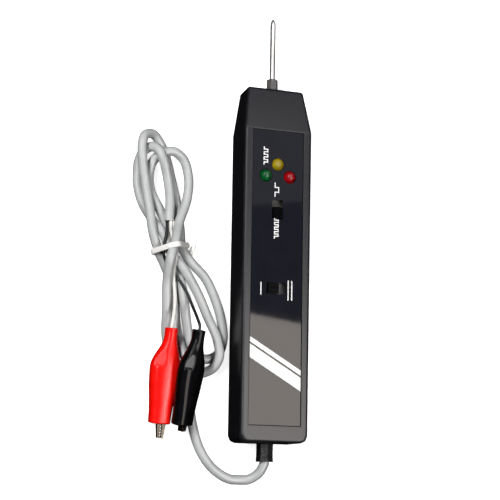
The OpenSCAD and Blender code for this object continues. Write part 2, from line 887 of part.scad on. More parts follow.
module cable_tie() {
    color([0.88, 0.85, 0.8])
    translate([0, lead_shift, 0]) {
        translate(tie_at)
            rotate([0, 0, tie_turn])
                rotate([90, 0, 0])
                    linear_extrude(tie_w, center = true)
                        difference() {
                            tie_outline(tie_t);
                            tie_outline(0);
                        }
        wire(tie_tail, tie_t);
    }
}

module boot(core_d) {
    difference() {
        loft([for (y = boot_stations) boot_ring(y, 0)]);
        loft([for (y = hollow_stations) boot_ring(y, boot_wall)]);
        bar(-past, neck_l + 2 * past, 0, core_d + 2 * running_gap);
    }
}

// Side view of a jaw ahead of its pivot, on the +X side, with teeth towards the other jaw
function jaw_outline(pivot) =
    concat([[jaw_root, pivot], [jaw_tip, pivot + jaw_l], [joint_gap / 2, pivot + jaw_l]],
        [for (i = [0:tooth_count - 1], side = [0, 1])
            [joint_gap / 2 + side * tooth, pivot + jaw_l - (i + 0.5 + 0.5 * side) * tooth_pitch]],
        [[joint_gap / 2, pivot]]);

// Side view of a flanged strip behind the pivot, leaning out to x_end
function strip_outline(pivot, l, x_end) =
    [[jaw_root, pivot + bite], [jaw_root, pivot - strip_bend], [x_end, pivot - l],
        [x_end - flange_h, pivot - l], [jaw_root - flange_h, pivot - strip_bend],
        [jaw_root - flange_h, pivot + bite]];

// Outline given a width that narrows towards the tip
module tapered(outline, pivot, w, tip_w) {
    intersection() {
        linear_extrude(w, center = true)
            polygon(outline);
        rotate([90, 0, 90])
            linear_extrude(4 * boot_w, center = true)
                polygon([[pivot - boot_l, -w / 2], [pivot + jaw_flat, -w / 2],
                    [pivot + jaw_l + past, -tip_w / 2], [pivot + jaw_l + past, tip_w / 2],
                    [pivot + jaw_flat, w / 2], [pivot - boot_l, w / 2]]);
    }
}

// Bent sheet channel with its web on the +X side
module channel(outline, pivot, w, tip_w) {
    difference() {
        tapered(outline, pivot, w, tip_w);
        translate([-jaw_t, 0, 0])
            tapered(outline, pivot, w - 2 * jaw_t, tip_w - 2 * jaw_t);
    }
}

module jaw(pivot, w, tip_w, rear_l, rear_x) {
    difference() {
        union() {
            channel(jaw_outline(pivot), pivot, w, tip_w);
            channel(strip_outline(pivot, rear_l, rear_x), pivot, w, tip_w);
            for (sz = [-1, 1])
                translate([0, pivot, sz * (w - jaw_t) / 2])
                    cylinder(r = ear_r, h = jaw_t, center = true);
        }
        translate([0, pivot, 0])
            cylinder(d = pivot_d + 2 * running_gap, h = 2 * w, center = true);
    }
}

module moving_jaw(pivot) {
    color([0.62, 0.62, 0.6])
        jaw(pivot, jaw_w, jaw_tip_w, handle_l, handle_out);
}

module fixed_jaw(pivot, core_d) {
    inner_w = jaw_w - 2 * jaw_t - 2 * joint_gap;
    tail_y = pivot - tail_l;
    neck_x = core_d / 2 + crimp_t;
    color([0.62, 0.62, 0.6]) {
        mirror([1, 0, 0])
            jaw(pivot, inner_w, 0.75 * inner_w, tail_l, jaw_root);
        linear_extrude(inner_w, center = true)
            polygon([[-jaw_root, tail_y + 1], [jaw_t - jaw_root, tail_y + 1],
                [-neck_x + 0.1, core_in - 1], [-neck_x + 0.1 - jaw_t, core_in - 1]]);
        difference() {
            bar(core_in - crimp_l, core_in, 0, 2 * neck_x);
            bar(core_in - crimp_l - past, core_in + past, 0, core_d + 2 * running_gap);
        }
    }
}

module pivot_pin(pivot) {
    head_z = jaw_w / 2 + joint_gap;
    color([0.66, 0.66, 0.66])
    translate([0, pivot, 0]) {
        cylinder(d = pivot_d, h = 2 * head_z, center = true);
        for (sz = [-1, 1])
            translate([0, 0, sz * (head_z + head_t / 2)])
                cylinder(d = pivot_d + 1.1, h = head_t, center = true);
    }
}

module spring(pivot) {
    color([0.55, 0.55, 0.56])
        loft(tube_rings(spring_path(pivot), spring_d));
}

module red_boot() {
    color([0.75, 0.08, 0.08])
    place_clip(red_at, red_turn)
        boot(white_d);
}

module red_fixed_jaw() {
    place_clip(red_at, red_turn)
        fixed_jaw(red_pivot, white_d);
}

module red_moving_jaw() {
    place_clip(red_at, red_turn)
        moving_jaw(red_pivot);
}

module red_pivot_pin() {
    place_clip(red_at, red_turn)
        pivot_pin(red_pivot);
}

module red_spring() {
    place_clip(red_at, red_turn)
        spring(red_pivot);
}

module black_boot() {
    color([0.05, 0.05, 0.05])
    place_clip(black_at, black_turn)
        boot(black_d);
}

module black_fixed_jaw() {
    place_clip(black_at, black_turn)
        fixed_jaw(black_pivot, black_d);
}

module black_moving_jaw() {
    place_clip(black_at, black_turn)
        moving_jaw(black_pivot);
}

module black_pivot_pin() {
    place_clip(black_at, black_turn)
        pivot_pin(black_pivot);
}

module black_spring() {
    place_clip(black_at, black_turn)
        spring(black_pivot);
}

front_shell();
rear_cover();
label_overlay();
case_screws();
probe_needle();
needle_collar();
needle_socket();
circuit_board();
led_yellow();
led_green();
led_red();
led_leads();
mode_switch_can();
mode_switch_base();
mode_switch_terminals();
mode_switch_slider();
mode_switch_knob();
level_switch_can();
level_switch_base();
level_switch_terminals();
level_switch_slider();
level_switch_knob();
comparator_chip();
counter_chip();
chip_legs();
resistors();
capacitor();
diode();
inner_leads();
strain_relief();
lead_cable();
white_wire();
black_wire();
cable_tie();
red_boot();
red_fixed_jaw();
red_moving_jaw();
red_pivot_pin();
red_spring();
black_boot();
black_fixed_jaw();
black_moving_jaw();
black_pivot_pin();
black_spring();
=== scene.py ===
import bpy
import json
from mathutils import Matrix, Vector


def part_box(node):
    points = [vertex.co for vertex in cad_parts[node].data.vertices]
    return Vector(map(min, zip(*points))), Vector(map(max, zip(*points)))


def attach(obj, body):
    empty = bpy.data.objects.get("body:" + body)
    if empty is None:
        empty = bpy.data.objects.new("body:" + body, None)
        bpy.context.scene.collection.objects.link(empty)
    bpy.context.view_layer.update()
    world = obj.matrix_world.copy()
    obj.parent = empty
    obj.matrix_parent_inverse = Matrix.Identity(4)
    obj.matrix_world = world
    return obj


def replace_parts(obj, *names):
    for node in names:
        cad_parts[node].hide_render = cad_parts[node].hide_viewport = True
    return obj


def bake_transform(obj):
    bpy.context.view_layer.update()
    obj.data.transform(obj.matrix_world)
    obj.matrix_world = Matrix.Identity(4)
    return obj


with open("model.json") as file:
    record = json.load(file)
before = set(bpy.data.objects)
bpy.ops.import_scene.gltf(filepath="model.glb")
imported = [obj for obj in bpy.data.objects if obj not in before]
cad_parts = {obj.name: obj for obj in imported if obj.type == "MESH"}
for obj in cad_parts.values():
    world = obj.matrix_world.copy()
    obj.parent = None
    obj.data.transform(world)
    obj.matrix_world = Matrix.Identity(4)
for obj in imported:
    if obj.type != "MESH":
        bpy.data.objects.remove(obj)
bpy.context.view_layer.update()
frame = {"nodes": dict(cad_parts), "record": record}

import json
import math

import bmesh
import bpy
from mathutils import Matrix, Vector

mm = 0.001
scene = bpy.context.scene


# camera: fitted to the case's corners, the lenses and the needle in the photograph
photoCamera = {
    "lens": 89.856,
    "sensor": 36,
    "target": (-8.4, -7.65, 9),  # mm
    "distance": 496,             # mm
    "leanAcross": 17.24,         # degrees from straight above, towards -X
    "leanAlong": 11.34,          # degrees from straight above, towards -Y
    "roll": 1.08,
}


def placeCamera(settings):
    back = Vector((-math.tan(math.radians(settings["leanAcross"])),
                   -math.tan(math.radians(settings["leanAlong"])), 1)).normalized()
    level = Vector((back.z, 0, -back.x)).normalized()
    roll = math.radians(settings["roll"])
    right = math.cos(roll) * level + math.sin(roll) * back.cross(level)
    turn = Matrix((right, back.cross(right), back)).transposed().to_4x4()
    data = bpy.data.cameras.new("photoCamera")
    data.lens = settings["lens"]
    data.sensor_width = settings["sensor"]
    camera = bpy.data.objects.new("photoCamera", data)
    scene.collection.objects.link(camera)
    place = (Vector(settings["target"]) + settings["distance"] * back) * mm
    camera.matrix_world = Matrix.Translation(place) @ turn
    scene.camera = camera


placeCamera(photoCamera)
print("camera placed")


# materials
def linear(hexColour):
    channels = [int(hexColour[i:i + 2], 16) / 255 for i in (1, 3, 5)]
    return [c / 12.92 if c <= 0.04045 else ((c + 0.055) / 1.055) ** 2.4 for c in channels] + [1]


def addNode(tree, kind, settings=None, links=None):
    node = tree.nodes.new(kind)
    for name, value in (settings or {}).items():
        if name in node.inputs:
            node.inputs[name].default_value = value
        else:
            setattr(node, name, value)
    for name, socket in (links or {}).items():
        tree.links.new(socket, node.inputs[name])
    return node


def setStops(ramp, stops, interpolation="LINEAR"):
    stops = list(stops)
    ramp.color_ramp.interpolation = interpolation
    while len(ramp.color_ramp.elements) < len(stops):
        ramp.color_ramp.elements.new(1)
    for element, (place, colour) in zip(ramp.color_ramp.elements, stops):
        element.position = place
        element.color = colour


noise = {"toneSpan": (0.35, 0.65), "glossSpan": (0.3, 0.7),  # the part of the noise that is used
         "toneDetail": 3, "grainDetail": 2, "cornerSamples": 8}


# Common build of a finish: two close tones, uneven gloss and a relief, each with its size in mm.
# "stretch" draws the pattern out along an axis, as drawing or extruding does.
def makeFinish(settings):
    material = bpy.data.materials.new(settings["name"])
    material.use_nodes = True
    tree = material.node_tree
    shader = tree.nodes["Principled BSDF"]
    for name, value in settings.get("shader", {}).items():
        shader.inputs[name].default_value = value
    place = addNode(tree, "ShaderNodeTexCoord")
    drawn = addNode(tree, "ShaderNodeMapping", {"Scale": settings.get("stretch", (1, 1, 1))},
                    {"Vector": place.outputs["Object"]})
    tone = addNode(tree, "ShaderNodeTexNoise",
                   {"Scale": 1 / (settings["toneSize"] * mm), "Detail": noise["toneDetail"]},
                   {"Vector": drawn.outputs["Vector"]})
    colours = addNode(tree, "ShaderNodeValToRGB", links={"Fac": tone.outputs["Fac"]})
    setStops(colours, zip(noise["toneSpan"], (linear(settings["dark"]), linear(settings["light"]))))
    grain = addNode(tree, "ShaderNodeTexNoise",
                    {"Scale": 1 / (settings["grainSize"] * mm), "Detail": noise["grainDetail"]},
                    {"Vector": drawn.outputs["Vector"]})
    low, high = noise["glossSpan"]
    smooth, dull = settings["roughness"]
    gloss = addNode(tree, "ShaderNodeMapRange",
                    {"From Min": low, "From Max": high, "To Min": smooth, "To Max": dull},
                    {"Value": tone.outputs["Fac"]})
    relief = addNode(tree, "ShaderNodeBump", {"Distance": settings["grainDepth"] * mm},
                     {"Height": grain.outputs["Fac"]})
    if "edgeRadius" in settings:  # moulded corners too small for the solids still catch the light
        corner = addNode(tree, "ShaderNodeBevel",
                         {"samples": noise["cornerSamples"], "Radius": settings["edgeRadius"] * mm})
        tree.links.new(corner.outputs["Normal"], relief.inputs["Normal"])
    tree.links.new(colours.outputs["Color"], shader.inputs["Base Color"])
    tree.links.new(gloss.outputs["Result"], shader.inputs["Roughness"])
    tree.links.new(relief.outputs["Normal"], shader.inputs["Normal"])
    return material


finishes = {
    # black ABS from a spark-eroded mould: satin, with a very fine grain that greys where light grazes it;
    # the real grain is about 0.1 mm and is drawn at 0.5 mm so that it shows
    "case_plastic": {"name": "abs_spark_moulded_black", "dark": "#121214", "light": "#17171a",
                     "toneSize": 1.2, "grainSize": 0.5, "grainDepth": 0.005, "roughness": (0.28, 0.34),
                     "edgeRadius": 0.5, "shader": {"IOR": 1.5}},
    # polyester film screen-printed in black: flat and glossy with a faint waviness from the glue
    "label_film": {"name": "polyester_film_printed_black", "dark": "#0f0f12", "light": "#131316",
                   "toneSize": 9, "grainSize": 9, "grainDepth": 0.0015, "roughness": (0.03, 0.045),
                   "shader": {"IOR": 1.52}},
    # zinc-plated steel, cold headed: bluish grey with soft cloudy gloss
    "screw_steel": {"name": "steel_zinc_plated", "dark": "#9ea2a8", "light": "#bcc0c4",
                    "toneSize": 0.8, "grainSize": 0.3, "grainDepth": 0.004, "roughness": (0.28, 0.42),
                    "edgeRadius": 0.12, "shader": {"Metallic": 1}},
    # drawn steel under bright nickel: long fine die lines along the needle
    "needle_steel": {"name": "steel_drawn_nickel_plated", "dark": "#cfcac0", "light": "#ece8df",
                     "toneSize": 0.5, "grainSize": 0.3, "grainDepth": 0.002, "roughness": (0.28, 0.38),
                     "stretch": (1, 0.03, 1), "shader": {"Metallic": 1}},
    # grey moulded ABS: satin, with faint flow marks
    "collar_plastic": {"name": "abs_moulded_grey", "dark": "#4e4b4b", "light": "#5a5756",
                       "toneSize": 1.5, "grainSize": 0.4, "grainDepth": 0.008, "roughness": (0.34, 0.46),
                       "edgeRadius": 0.25, "shader": {"IOR": 1.54}},
    # turned brass: yellow metal with fine rings
    "socket_brass": {"name": "brass_turned", "dark": "#b8923f", "light": "#d2ae5c",
                     "toneSize": 0.6, "grainSize": 0.25, "grainDepth": 0.003, "roughness": (0.22, 0.34),
                     "stretch": (0.2, 3, 0.2), "shader": {"Metallic": 1}},
    # glass-epoxy laminate under green solder mask: glossy green with the weave just showing
    "board_laminate": {"name": "glass_epoxy_solder_masked", "dark": "#1d5232", "light": "#2a6b42",
                       "toneSize": 0.9, "grainSize": 0.6, "grainDepth": 0.01, "roughness": (0.22, 0.36),
                       "shader": {"IOR": 1.55}},
    # copper wire, hot tinned: bright grey, a little lumpy
    "tinned_wire": {"name": "copper_hot_tinned", "dark": "#a9a9a6", "light": "#cdcdc9",
                    "toneSize": 0.5, "grainSize": 0.35, "grainDepth": 0.006, "roughness": (0.24, 0.4),
                    "shader": {"Metallic": 1}},
    # tinplate, pressed: rolling lines and soft reflections
    "switch_sheet": {"name": "tinplate_pressed", "dark": "#b4b4b0", "light": "#cfcfca",
                     "toneSize": 1.2, "grainSize": 0.4, "grainDepth": 0.004, "roughness": (0.26, 0.4),
                     "stretch": (1, 0.1, 1), "shader": {"Metallic": 1}},
    # paper phenolic, punched: brown with paler paper fibres
    "switch_phenolic": {"name": "paper_phenolic_punched", "dark": "#53301a", "light": "#754a2a",
                        "toneSize": 0.7, "grainSize": 0.3, "grainDepth": 0.01, "roughness": (0.4, 0.55),
                        "shader": {"IOR": 1.55}},
    # nylon, moulded: dark greyish brown with a waxy gloss
    "slider_nylon": {"name": "nylon_moulded_brown", "dark": "#1c1a16", "light": "#25221d",
                     "toneSize": 1, "grainSize": 0.3, "grainDepth": 0.008, "roughness": (0.36, 0.48),
                     "shader": {"IOR": 1.53}},
    # black ABS, moulded and handled: smoother than the case, but dusty, so it gives back little light
    "knob_plastic": {"name": "abs_moulded_black_smooth", "dark": "#040405", "light": "#080809",
                     "toneSize": 0.8, "grainSize": 0.3, "grainDepth": 0.008, "roughness": (0.14, 0.2),
                     "edgeRadius": 0.2, "shader": {"IOR": 1.5, "Specular IOR Level": 0.06}},
    # filled epoxy, transfer moulded: dark grey and chalky
    "chip_epoxy": {"name": "epoxy_transfer_moulded", "dark": "#1d1d1d", "light": "#282828",
                   "toneSize": 0.6, "grainSize": 0.2, "grainDepth": 0.01, "roughness": (0.5, 0.65),
                   "edgeRadius": 0.15, "shader": {"IOR": 1.55}},
    # PVC sleeve shrunk over a can: dark blue, glossy
    "capacitor_sleeve": {"name": "pvc_sleeve_shrunk_blue", "dark": "#141b3d", "light": "#1d2751",
                         "toneSize": 1.5, "grainSize": 0.6, "grainDepth": 0.01, "roughness": (0.2, 0.32),
                         "edgeRadius": 0.3, "shader": {"IOR": 1.53}},
    # moulded epoxy of a small diode: plain black, slightly dusty
    "diode_epoxy": {"name": "epoxy_moulded_black", "dark": "#161616", "light": "#202020",
                    "toneSize": 0.6, "grainSize": 0.25, "grainDepth": 0.008, "roughness": (0.42, 0.56),
                    "shader": {"IOR": 1.55}},
    # PVC insulation, extruded: off-white and smooth
    "inner_insulation": {"name": "pvc_extruded_offwhite", "dark": "#d6d3cb", "light": "#e4e1d9",
                         "toneSize": 1.5, "grainSize": 0.6, "grainDepth": 0.006, "roughness": (0.34, 0.44),
                         "shader": {"IOR": 1.53}},
    # soft PVC, moulded: dark brownish grey with a soft shine
    "gland_vinyl": {"name": "pvc_soft_moulded_grey", "dark": "#151413", "light": "#1d1b1a",
                    "toneSize": 1.4, "grainSize": 0.4, "grainDepth": 0.01, "roughness": (0.24, 0.34),
                    "edgeRadius": 0.3, "shader": {"IOR": 1.4}},
    # PVC jacket, extruded: even light grey with a silky gloss and slight handling marks
    "cable_jacket": {"name": "pvc_extruded_light_grey", "dark": "#aeb0b0", "light": "#b8b9b8",
                     "toneSize": 5, "grainSize": 0.8, "grainDepth": 0.01, "roughness": (0.36, 0.48),
                     "shader": {"IOR": 1.53}},
    # PVC of the cores, extruded thin: smooth, with a faint shine
    "white_insulation": {"name": "pvc_extruded_white", "dark": "#dedbd5", "light": "#ebe9e4",
                         "toneSize": 3, "grainSize": 0.6, "grainDepth": 0.006, "roughness": (0.32, 0.42),
                         "shader": {"IOR": 1.53}},
    "black_insulation": {"name": "pvc_extruded_black", "dark": "#0f0f10", "light": "#161617",
                         "toneSize": 3, "grainSize": 0.6, "grainDepth": 0.006, "roughness": (0.3, 0.42),
                         "shader": {"IOR": 1.53}},
    # PVC strip extruded over a wire: a warm white
    "tie_plastic": {"name": "pvc_strip_offwhite", "dark": "#f6f4ee", "light": "#fdfcf9",
                    "toneSize": 2.2, "grainSize": 0.5, "grainDepth": 0.01, "roughness": (0.4, 0.52),
                    "shader": {"IOR": 1.53}},
    # soft vinyl, dip moulded: saturated red with a soft gloss, and a shinier black
    "red_vinyl": {"name": "vinyl_dipped_red", "dark": "#f00d06", "light": "#f8140b",
                  "toneSize": 4, "grainSize": 0.7, "grainDepth": 0.008, "roughness": (0.2, 0.27),
                  "shader": {"IOR": 1.3}},
    "black_vinyl": {"name": "vinyl_dipped_black", "dark": "#060606", "light": "#0b0b0b",
                    "toneSize": 4, "grainSize": 0.7, "grainDepth": 0.004, "roughness": (0.12, 0.17),
                    "shader": {"IOR": 1.3}},
    # mild steel, pressed and nickel plated: dull, warm dark grey; its wide random mottle from dark brown to
    # pale cream is painted shade and painted highlight, standing for the jaws' shaded and lit halves
    "jaw_steel": {"name": "steel_pressed_nickel_plated", "dark": "#39342e", "light": "#6e665c",
                  "toneSize": 0.7, "grainSize": 0.3, "grainDepth": 0.006, "roughness": (0.2, 0.36),
                  "edgeRadius": 0.1, "shader": {"Metallic": 1}},
    # turned steel pin: plain bright grey
    "pin_steel": {"name": "steel_turned", "dark": "#96969a", "light": "#b4b4b6",
                  "toneSize": 0.5, "grainSize": 0.25, "grainDepth": 0.003, "roughness": (0.26, 0.38),
                  "shader": {"Metallic": 1}},
    # music wire: darker grey, drawn
    "spring_wire": {"name": "steel_spring_drawn", "dark": "#6d6d70", "light": "#89898c",
                    "toneSize": 0.4, "grainSize": 0.25, "grainDepth": 0.003, "roughness": (0.28, 0.4),
                    "shader": {"Metallic": 1}},
}

# cast epoxy, tinted and slightly milky: deep colour, wet gloss and light that glows inside
lensTints = {
    "yellow_lens": {"name": "epoxy_cast_yellow", "dark": "#b79f10", "light": "#c9b41a"},
    "green_lens": {"name": "epoxy_cast_green", "dark": "#06602a", "light": "#0a7434"},
    "red_lens": {"name": "epoxy_cast_red", "dark": "#b0060d", "light": "#c40a12"},
}
lensCast = {"toneSize": 2, "grainSize": 1.2, "grainDepth": 0.002, "roughness": (0.015, 0.03),
            "shader": {"IOR": 1.55, "Transmission Weight": 0.45, "Subsurface Weight": 0.3,
                       "Subsurface Scale": 0.8 * mm}}
for slotName, tint in lensTints.items():
    finishes[slotName] = {**lensCast, **tint}

# lacquered resistor bodies with their colour code, banded along Y
resistorCode = {"name": "resistor_lacquer_banded", "body": "#b79a68", "length": 6,
                "bands": ["#7a4a1c", "#151515", "#c0271d", "#b98a2c"],
                "bandStart": 0.14, "bandPitch": 0.19, "bandWidth": 0.09}  # shares of the length


def makeResistorLacquer(settings):
    low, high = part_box("resistors")
    material = makeFinish({"name": settings["name"], "dark": settings["body"], "light": settings["body"],
                           "toneSize": 0.7, "grainSize": 0.3, "grainDepth": 0.01,
                           "roughness": (0.3, 0.42), "shader": {"IOR": 1.5}})
    tree = material.node_tree
    place = addNode(tree, "ShaderNodeTexCoord")
    parts = addNode(tree, "ShaderNodeSeparateXYZ", links={"Vector": place.outputs["Object"]})
    middle = (low.y + high.y) / 2
    half = settings["length"] * mm / 2
    along = addNode(tree, "ShaderNodeMapRange", {"From Min": middle - half, "From Max": middle + half},
                    {"Value": parts.outputs["Y"]})
    stops = [(0, linear(settings["body"]))]
    for i, band in enumerate(settings["bands"]):
        start = settings["bandStart"] + settings["bandPitch"] * i
        stops += [(start, linear(band)), (start + settings["bandWidth"], linear(settings["body"]))]
    code = addNode(tree, "ShaderNodeValToRGB", links={"Fac": along.outputs["Result"]})
    setStops(code, stops, "CONSTANT")
    tree.links.new(code.outputs["Color"], tree.nodes["Principled BSDF"].inputs["Base Color"])
    return material


materials = {name: makeFinish(settings) for name, settings in finishes.items()}
materials["resistor_lacquer"] = makeResistorLacquer(resistorCode)
# opaque white screen ink: dry, with a slightly grainy edge to its cover
materials["label_ink"] = makeFinish({"name": "screen_ink_white", "dark": "#f0efec", "light": "#f7f6f4",
                                     "toneSize": 1.6, "grainSize": 0.4, "grainDepth": 0.006,
                                     "roughness": (0.4, 0.55), "shader": {"IOR": 1.5}})
print("materials made:", len(materials))


# solids that keep their own shape: new finish, rounded parts shaded smooth
solids = {"shadeAngle": 32, "weld": 0.001}  # degrees, mm
for part in frame["record"]["subparts"]:
    node = frame["nodes"][part["node"]]
    node.data.materials.clear()
    node.data.materials.append(materials[part["material_slot"]])
    node.data.shade_smooth()
    node.modifiers.new("weld", "WELD").merge_threshold = solids["weld"] * mm
    node.modifiers.new("corners", "EDGE_SPLIT").split_angle = math.radians(solids["shadeAngle"])
    node.modifiers.new("normals", "WEIGHTED_NORMAL")
print("solids finished:", len(frame["nodes"]))


# pieces made here
def addPiece(name, data, slotName, material=None):
    piece = bpy.data.objects.new(name, data)
    scene.collection.objects.link(piece)
    data.materials.append(materials[material or slotName])
    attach(piece, "probe")
    return piece


def meshFrom(name, bm, smooth=True):
    bmesh.ops.recalc_face_normals(bm, faces=bm.faces)
    data = bpy.data.meshes.new(name)
    bm.to_mesh(data)
    bm.free()
    if smooth:
        data.shade_smooth()
    return data


def joinRings(bm, rings, closed=False):
    loops = [[bm.verts.new(point) for point in ring] for ring in rings]
    count = len(loops[0])
    pairs = list(zip(loops, loops[1:])) + ([(loops[-1], loops[0])] if closed else [])
    for a, b in pairs:
        for i in range(count):
            bm.faces.new((a[i], a[(i + 1) % count], b[(i + 1) % count], b[i]))
    return loops


# clips: where each neck lies, then pitch, roll and heading in degrees, as the solids are placed,
# and the slope of the thumb facet across the boot
clips = {
    "red": {"at": (-39.5, -40.6, 9.6), "pitch": -8, "roll": 0, "heading": 177, "facetTilt": 0.36},
    "black": {"at": (-30.3, -41.7, 16.2), "pitch": -14, "roll": -35, "heading": 175, "facetTilt": 0.74},
}


def clipMatrix(clip):
    turns = (("heading", "Z"), ("pitch", "X"), ("roll", "Y"))
    matrix = Matrix.Translation(Vector(clip["at"]) * mm)
    for name, axis in turns:
        matrix = matrix @ Matrix.Rotation(math.radians(clip[name]), 4, axis)
    return matrix


# boots: the same form as their solids, with a lip, a flared neck and a flat thumb facet, in mm
boot = {
    "length": 36.8, "width": 11.9, "thickness": 7.6,
    "mouthWidth": 8.5, "mouthThickness": 6.8,
    "neck": 5, "neckLength": 3, "belly": 15.5, "shift": 0.8,
    "wall": 0.8, "hollowStart": 4.5, "lip": 0.75, "flare": 0.12,
    "facetStart": 2.6, "facetEnd": 14.4, "facetDepth": 0.5,
    "square": 0.74, "bellySquare": 0.7,  # how far the section leaves the round, and the belly's share of it
    "neckEnd": [(0.3, 1.5), (0, 0.35), (0.15, 0.05)],  # its rounded end: along and inset
    "sides": 96, "step": 0.4, "lipSteps": 6,
}


def ease(s):
    return (1 - math.cos(math.pi * max(0, min(1, s)))) / 2


def blend(a, b, s):
    return a + (b - a) * s


# outline across the boot, as (x, z) in mm
def bootSection(y, inset):
    front = ease((y - boot["neckLength"]) / (boot["belly"] - boot["neckLength"]))
    rear = ease((y - boot["belly"]) / (boot["length"] - boot["belly"]))
    flare = boot["flare"] * max(0, 1 - y)
    across = blend(blend(boot["neck"], boot["width"], front), boot["mouthWidth"], rear)
    thick = blend(blend(boot["neck"], boot["thickness"], front), boot["mouthThickness"], rear)
    half, rise = (size / 2 - inset + flare for size in (across, thick))
    power = blend(1, boot["square"], max(front * boot["bellySquare"], rear))
    section = []
    for k in range(boot["sides"]):
        c, s = (f(2 * math.pi * k / boot["sides"]) for f in (math.cos, math.sin))
        section.append((boot["shift"] * front + half * math.copysign(abs(c) ** power, c),
                        rise * math.copysign(abs(s) ** power, s)))
    return section


# flat plane that sinks into the swelling behind the neck and ends at the belly in a step
def cutFacet(section, y, tilt):
    grow = (y - boot["facetStart"]) / (boot["facetEnd"] - boot["facetStart"])
    if not 0 < grow <= 1:
        return section
    first, last = (max(tilt * x + z for x, z in bootSection(end, 0))
                   for end in (boot["facetStart"], boot["facetEnd"]))
    flat = blend(first, last, grow) - boot["facetDepth"] * grow
    return [(x, z - max(tilt * x + z - flat, 0)) for x, z in section]


def bootRing(y, inset, facetTilt=None):
    section = bootSection(y, inset)
    if facetTilt is not None:
        section = cutFacet(section, y, facetTilt)
    return [Vector((x, y, z)) * mm for x, z in section]


def makeBoot(name, clip, slotName):
    steps = round(boot["length"] / boot["step"])
    outer = [boot["step"] * i for i in range(steps)]
    lipTurns = [math.pi / 2 * i / boot["lipSteps"] for i in range(boot["lipSteps"] + 1)]
    rings = [bootRing(y, inset) for y, inset in boot["neckEnd"]]
    rings += [bootRing(y, 0, clip["facetTilt"]) for y in outer[1:] if y < boot["length"] - boot["lip"]]
    for turn in lipTurns:
        rings.append(bootRing(boot["length"] - boot["lip"] * (1 - math.sin(turn)),
                              boot["lip"] * (1 - math.cos(turn))))
    rings += [bootRing(y, boot["wall"]) for y in reversed(outer[1:]) if y > boot["hollowStart"]]
    bm = bmesh.new()
    loops = joinRings(bm, rings)
    bm.faces.new(loops[-1])
    bm.faces.new(loops[0])
    bm.transform(clipMatrix(clip))
    return addPiece(name, meshFrom(name, bm), slotName)


redBoot = makeBoot("redBoot", clips["red"], "red_vinyl")
blackBoot = makeBoot("blackBoot", clips["black"], "black_vinyl")
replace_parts(redBoot, "red_boot")
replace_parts(blackBoot, "black_boot")
print("boots made")


# springs: each a welded copy of its solid's coil and legs, in spring wire, shaded smooth
spring = {"coilRadius": 1.2, "weld": 0.001}  # mm


def makeSpring(name):
    node = name + "_spring"
    bm = bmesh.new()
    bm.from_mesh(frame["nodes"][node].data)
    bmesh.ops.remove_doubles(bm, verts=bm.verts, dist=spring["weld"] * mm)
    piece = bpy.data.objects.new(name + "Spring", meshFrom(name + "Spring", bm))
    scene.collection.objects.link(piece)
    piece.data.materials.append(materials["spring_wire"])
    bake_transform(piece)
    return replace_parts(piece, node)


redSpring, blackSpring = (makeSpring(name) for name, clip in clips.items())
print("springs made")


# cords: the routes of part.scad in mm, from the case to the tied hank and on to the clips
def clipAxis(name, y):
    return clipMatrix(clips[name]) @ Vector((0, y * mm, 0)) / mm


coreEnds = (-1.5, 9)  # along a clip, from its neck
supplyCable = {
    "diameter": 3.8, "length": 620, "exit": (0, -90.45, 6),
    "route": [
        (0, -76, 6), (0, -91, 6), (-2, -95, 4.6), (-6, -97.5, 2.6), (-12, -97.5, 2), (-19, -94, 2),
        (-25, -86.5, 2), (-28.5, -76, 2), (-30.5, -65, 4), (-31.8, -54.5, 6), (-34.4, -46.5, 4),
        (-36, -38, 2), (-37.2, -27, 2), (-40, -18, 2), (-43.5, -11, 2.8), (-47.2, -3, 5.4), (-48.8, 5, 6.2),
        (-51, 16, 6.4), (-53, 26.2, 8), (-53.4, 31.4, 8.6), (-52.2, 35.6, 7.6), (-48.6, 37, 5.4),
        (-45.4, 34.6, 3.4), (-43, 30.4, 2.2), (-39.2, 18, 2), (-37, 9, 2), (-35.6, 0, 2.4),
        (-34.5, -8.5, 3.4), (-31.2, -12.8, 3), (-25, -18.5, 2), (-20.5, -27, 2), (-17.5, -36, 2),
        (-16.8, -44, 2), (-18.8, -49.2, 2), (-23, -51.2, 2), (-27.4, -50, 2), (-30, -46, 2),
        (-31.6, -39, 2.6), (-33.9, -28, 4.8), (-35.8, -17, 2.4), (-38.5, -9.5, 3.05), (-39.7, -2, 1.95),
        (-43.7, 6.5, 2.1), (-48.2, 14.6, 2.8), (-49, 21.7, 3.3), (-48, 26, 4.4), (-44.6, 29.3, 5.8),
        (-40, 30.3, 6.4), (-36.4, 28.3, 5.8), (-33.4, 21.2, 4.6), (-34, 11, 5.4), (-37, 2, 6.8),
        (-39.2, -7, 10.1), (-41, -13, 11.1), (-41.2, -22, 6.6), (-40.4, -33, 4), (-39.8, -43, 2),
        (-37.4, -51, 2), (-32.4, -55.6, 2), (-26, -57, 2), (-21.4, -55, 3.8), (-19.2, -50.5, 6),
        (-20, -44.5, 6), (-23.8, -35, 4.4), (-29, -25, 5.6), (-35, -16.2, 6.7), (-40.5, -9.8, 6.4),
        (-42.6, -3, 4.4), (-46.2, 2, 2.2), (-51.2, 9.5, 2), (-53.6, 18.4, 2), (-53.6, 25, 2.4),
        (-52, 29.7, 4.2), (-49.4, 31.4, 6.4), (-47, 30, 8.9), (-45, 25.9, 9.6), (-42.8, 20, 7.6),
        (-41, 11.2, 6.1), (-41, 2.2, 5.8)],
}
whiteCore = {
    "diameter": 1.5, "length": 54, "exit": (-41, 2.2, 5.8),
    "route": [(-40.4, 2.2, 6.4), (-40.1, -1.5, 5.8), (-38.9, -6.6, 7), (-38.2, -9.3, 8.3),
              (-38.5, -13, 9.5), (-38.8, -16.4, 7.7), (-38.6, -20.5, 6.4), (-37.9, -26.5, 6.6),
              (-38.3, -33, 8.4)]
             + [clipAxis("red", y) for y in coreEnds],
}
